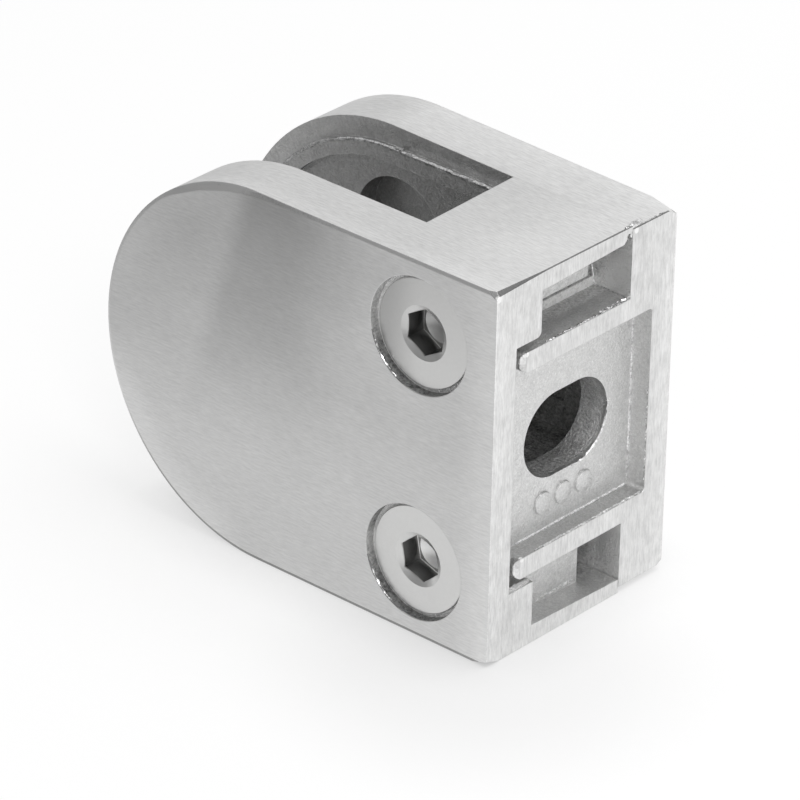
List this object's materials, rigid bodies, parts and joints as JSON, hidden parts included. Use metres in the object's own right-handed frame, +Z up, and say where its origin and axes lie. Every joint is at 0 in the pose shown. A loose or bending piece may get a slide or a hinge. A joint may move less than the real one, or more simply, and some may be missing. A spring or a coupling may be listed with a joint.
{
  "type": "glass panel clamp",
  "caption": "D-shaped stainless clamp with a slot for a glass panel, two jaws drawn together by countersunk screws and a slotted hole for a post bolt.",
  "frame": {"origin": "centre of the flat face that bolts to the post, midway between the jaws and midway up", "axes": "+X out of the clamp towards the post, -X along the slot the glass comes in by, +Y from the screw side to the back jaw, +Z up"},
  "size_m": [0.0504, 0.026, 0.0403],
  "materials": {
    "front_jaw": "satin ground stainless casting",
    "rear_jaw": "satin ground stainless casting, matt as cast in its recesses",
    "screws": "bright turned stainless"
  },
  "bodies": {
    "rear_jaw": {"rear_jaw": "rear_jaw"},
    "front_jaw": {"front_jaw": "front_jaw"},
    "upper_screw": {"upper_screw": "screws"},
    "lower_screw": {"lower_screw": "screws"}
  },
  "joints": [
    {"name": "front_jaw_slide", "type": "slide", "parent": "rear_jaw", "child": "front_jaw", "axis": [0, -1, 0], "range_m": [0, 0.008]},
    {"name": "upper_screw_turn", "type": "hinge", "parent": "front_jaw", "child": "upper_screw", "pos_m": [-0.0095, 0, 0.0122], "axis": [0, -1, 0], "range_deg": [0, 2882]},
    {"name": "lower_screw_turn", "type": "hinge", "parent": "front_jaw", "child": "lower_screw", "pos_m": [-0.0095, 0, -0.0122], "axis": [0, -1, 0], "range_deg": [0, 2882]}
  ],
  "couplings": [
    {"joint": "upper_screw_turn", "follows": "front_jaw_slide", "rad_per_m": 6283.2},
    {"joint": "lower_screw_turn", "follows": "front_jaw_slide", "rad_per_m": 6283.2}
  ]
}
